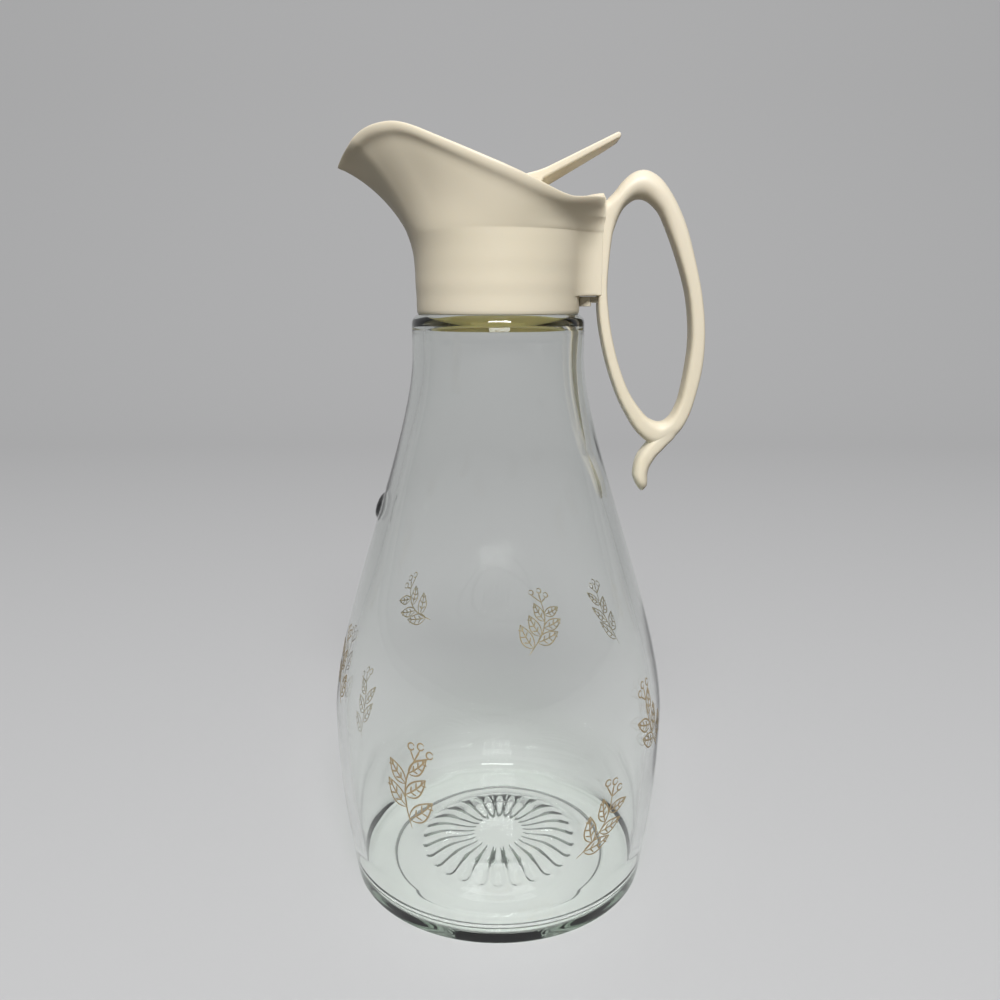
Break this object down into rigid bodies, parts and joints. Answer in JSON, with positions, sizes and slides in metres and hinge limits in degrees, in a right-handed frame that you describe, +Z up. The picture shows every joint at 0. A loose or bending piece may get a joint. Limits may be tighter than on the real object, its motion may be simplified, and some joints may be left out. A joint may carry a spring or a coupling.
{
  "type": "glass serving carafe",
  "caption": "Clear glass carafe with a screw-on plastic pouring head, flip lid with thumb lever, and a loop handle.",
  "frame": {"origin": "centre of the foot, on the surface that the carafe stands on", "axes": "+Z up along the glass's axis, spout towards -X, handle towards +X"},
  "size_m": [0.1417, 0.1302, 0.2879],
  "materials": {
    "clear_glass": "pressed clear glass with a faint green tint",
    "seal_rubber": "soft seal, yellowed",
    "cream_plastic": "moulded cream plastic, soft gloss",
    "pin_steel": "drawn wire"
  },
  "bodies": {
    "carafe": {"glass_carafe": "clear_glass"},
    "seal": {"seal_sleeve": "seal_rubber"},
    "head": {"pouring_head": "cream_plastic", "hinge_pin": "pin_steel", "handle": "cream_plastic"},
    "lid": {"lid": "cream_plastic"}
  },
  "joints": [
    {"name": "head_lift", "type": "slide", "parent": "carafe", "child": "seal", "axis": [0, 0, 1], "range_m": [0, 0.0106]},
    {"name": "head_turn", "type": "hinge", "parent": "seal", "child": "head", "pos_m": [0, 0, 0.235], "axis": [0, 0, 1], "range_deg": [0, 540]},
    {"name": "lid_hinge", "type": "hinge", "parent": "head", "child": "lid", "pos_m": [0.0225, 0, 0.2566], "axis": [0, 1, 0], "range_deg": [0, 19]}
  ],
  "couplings": [
    {"joint": "head_lift", "follows": "head_turn", "m_per_rad": 0.0011141}
  ]
}
